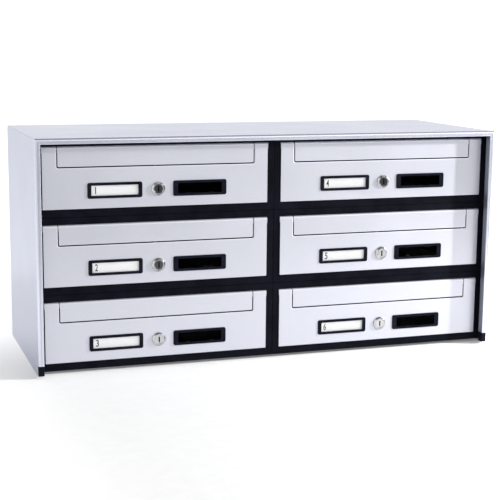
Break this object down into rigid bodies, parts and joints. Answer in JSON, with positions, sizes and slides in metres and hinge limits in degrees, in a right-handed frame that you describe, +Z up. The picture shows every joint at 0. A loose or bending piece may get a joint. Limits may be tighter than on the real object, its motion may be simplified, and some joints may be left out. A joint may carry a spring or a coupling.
{
  "type": "cluster mailbox unit",
  "caption": "Stacked letter boxes in a silver aluminium surround: black trays with top-hinged doors, inward mail flaps, cam locks, name cards and inspection windows.",
  "frame": {"origin": "middle of the base, on the plane that the unit stands on", "axes": "+X to the viewer's right across both columns, +Y from the doors to the back, +Z up"},
  "size_m": [0.777, 0.3, 0.37],
  "materials": {
    "surround_aluminium": "satin",
    "door_aluminium": "satin",
    "tray_plastic": "semi-matt, moulded",
    "black_plastic": "semi-gloss, moulded",
    "clear_plastic": "clear acrylic",
    "card_paper": "matt",
    "lock_chrome": "polished",
    "lock_steel": "turned",
    "zinc_steel": "zinc plated"
  },
  "bodies": {
    "frame": {"tray_1": "tray_plastic", "tray_2": "tray_plastic", "tray_3": "tray_plastic", "tray_4": "tray_plastic", "tray_5": "tray_plastic", "tray_6": "tray_plastic", "surround_top": "surround_aluminium", "surround_left": "surround_aluminium", "surround_right": "surround_aluminium", "end_caps": "black_plastic", "hinge_rods": "zinc_steel", "fixings": "zinc_steel"},
    "door_body_1": {"door_1": "door_aluminium", "lock_barrel_1": "lock_chrome", "bezels_1": "black_plastic", "name_card_1": "card_paper", "panes_1": "clear_plastic"},
    "flap_body_1": {"flap_1": "door_aluminium"},
    "lock_body_1": {"lock_plug_1": "lock_steel", "lock_cam_1": "zinc_steel"},
    "door_body_2": {"door_2": "door_aluminium", "lock_barrel_2": "lock_chrome", "bezels_2": "black_plastic", "name_card_2": "card_paper", "panes_2": "clear_plastic"},
    "flap_body_2": {"flap_2": "door_aluminium"},
    "lock_body_2": {"lock_plug_2": "lock_steel", "lock_cam_2": "zinc_steel"},
    "door_body_3": {"door_3": "door_aluminium", "lock_barrel_3": "lock_chrome", "bezels_3": "black_plastic", "name_card_3": "card_paper", "panes_3": "clear_plastic"},
    "flap_body_3": {"flap_3": "door_aluminium"},
    "lock_body_3": {"lock_plug_3": "lock_steel", "lock_cam_3": "zinc_steel"},
    "door_body_4": {"door_4": "door_aluminium", "lock_barrel_4": "lock_chrome", "bezels_4": "black_plastic", "name_card_4": "card_paper", "panes_4": "clear_plastic"},
    "flap_body_4": {"flap_4": "door_aluminium"},
    "lock_body_4": {"lock_plug_4": "lock_steel", "lock_cam_4": "zinc_steel"},
    "door_body_5": {"door_5": "door_aluminium", "lock_barrel_5": "lock_chrome", "bezels_5": "black_plastic", "name_card_5": "card_paper", "panes_5": "clear_plastic"},
    "flap_body_5": {"flap_5": "door_aluminium"},
    "lock_body_5": {"lock_plug_5": "lock_steel", "lock_cam_5": "zinc_steel"},
    "door_body_6": {"door_6": "door_aluminium", "lock_barrel_6": "lock_chrome", "bezels_6": "black_plastic", "name_card_6": "card_paper", "panes_6": "clear_plastic"},
    "flap_body_6": {"flap_6": "door_aluminium"},
    "lock_body_6": {"lock_plug_6": "lock_steel", "lock_cam_6": "zinc_steel"}
  },
  "joints": [
    {"name": "door_1_swing", "type": "hinge", "parent": "frame", "child": "door_body_1", "pos_m": [-0.1929, -0.1234, 0.3511], "axis": [-1, 0, 0], "range_deg": [0, 90]},
    {"name": "flap_1_push", "type": "hinge", "parent": "door_body_1", "child": "flap_body_1", "pos_m": [-0.1929, -0.1234, 0.3511], "axis": [1, 0, 0], "range_deg": [0, 75]},
    {"name": "lock_1_turn", "type": "hinge", "parent": "door_body_1", "child": "lock_body_1", "pos_m": [-0.1929, -0.1284, 0.287], "axis": [0, 1, 0], "range_deg": [0, 180]},
    {"name": "door_2_swing", "type": "hinge", "parent": "frame", "child": "door_body_2", "pos_m": [-0.1929, -0.1234, 0.2301], "axis": [-1, 0, 0], "range_deg": [0, 90]},
    {"name": "flap_2_push", "type": "hinge", "parent": "door_body_2", "child": "flap_body_2", "pos_m": [-0.1929, -0.1234, 0.2301], "axis": [1, 0, 0], "range_deg": [0, 75]},
    {"name": "lock_2_turn", "type": "hinge", "parent": "door_body_2", "child": "lock_body_2", "pos_m": [-0.1929, -0.1284, 0.166], "axis": [0, 1, 0], "range_deg": [0, 180]},
    {"name": "door_3_swing", "type": "hinge", "parent": "frame", "child": "door_body_3", "pos_m": [-0.1929, -0.1234, 0.1091], "axis": [-1, 0, 0], "range_deg": [0, 90]},
    {"name": "flap_3_push", "type": "hinge", "parent": "door_body_3", "child": "flap_body_3", "pos_m": [-0.1929, -0.1234, 0.1091], "axis": [1, 0, 0], "range_deg": [0, 75]},
    {"name": "lock_3_turn", "type": "hinge", "parent": "door_body_3", "child": "lock_body_3", "pos_m": [-0.1929, -0.1284, 0.045], "axis": [0, 1, 0], "range_deg": [0, 180]},
    {"name": "door_4_swing", "type": "hinge", "parent": "frame", "child": "door_body_4", "pos_m": [0.1929, -0.1234, 0.3511], "axis": [-1, 0, 0], "range_deg": [0, 90]},
    {"name": "flap_4_push", "type": "hinge", "parent": "door_body_4", "child": "flap_body_4", "pos_m": [0.1929, -0.1234, 0.3511], "axis": [1, 0, 0], "range_deg": [0, 75]},
    {"name": "lock_4_turn", "type": "hinge", "parent": "door_body_4", "child": "lock_body_4", "pos_m": [0.1929, -0.1284, 0.287], "axis": [0, 1, 0], "range_deg": [0, 180]},
    {"name": "door_5_swing", "type": "hinge", "parent": "frame", "child": "door_body_5", "pos_m": [0.1929, -0.1234, 0.2301], "axis": [-1, 0, 0], "range_deg": [0, 90]},
    {"name": "flap_5_push", "type": "hinge", "parent": "door_body_5", "child": "flap_body_5", "pos_m": [0.1929, -0.1234, 0.2301], "axis": [1, 0, 0], "range_deg": [0, 75]},
    {"name": "lock_5_turn", "type": "hinge", "parent": "door_body_5", "child": "lock_body_5", "pos_m": [0.1929, -0.1284, 0.166], "axis": [0, 1, 0], "range_deg": [0, 180]},
    {"name": "door_6_swing", "type": "hinge", "parent": "frame", "child": "door_body_6", "pos_m": [0.1929, -0.1234, 0.1091], "axis": [-1, 0, 0], "range_deg": [0, 90]},
    {"name": "flap_6_push", "type": "hinge", "parent": "door_body_6", "child": "flap_body_6", "pos_m": [0.1929, -0.1234, 0.1091], "axis": [1, 0, 0], "range_deg": [0, 75]},
    {"name": "lock_6_turn", "type": "hinge", "parent": "door_body_6", "child": "lock_body_6", "pos_m": [0.1929, -0.1284, 0.045], "axis": [0, 1, 0], "range_deg": [0, 180]}
  ]
}
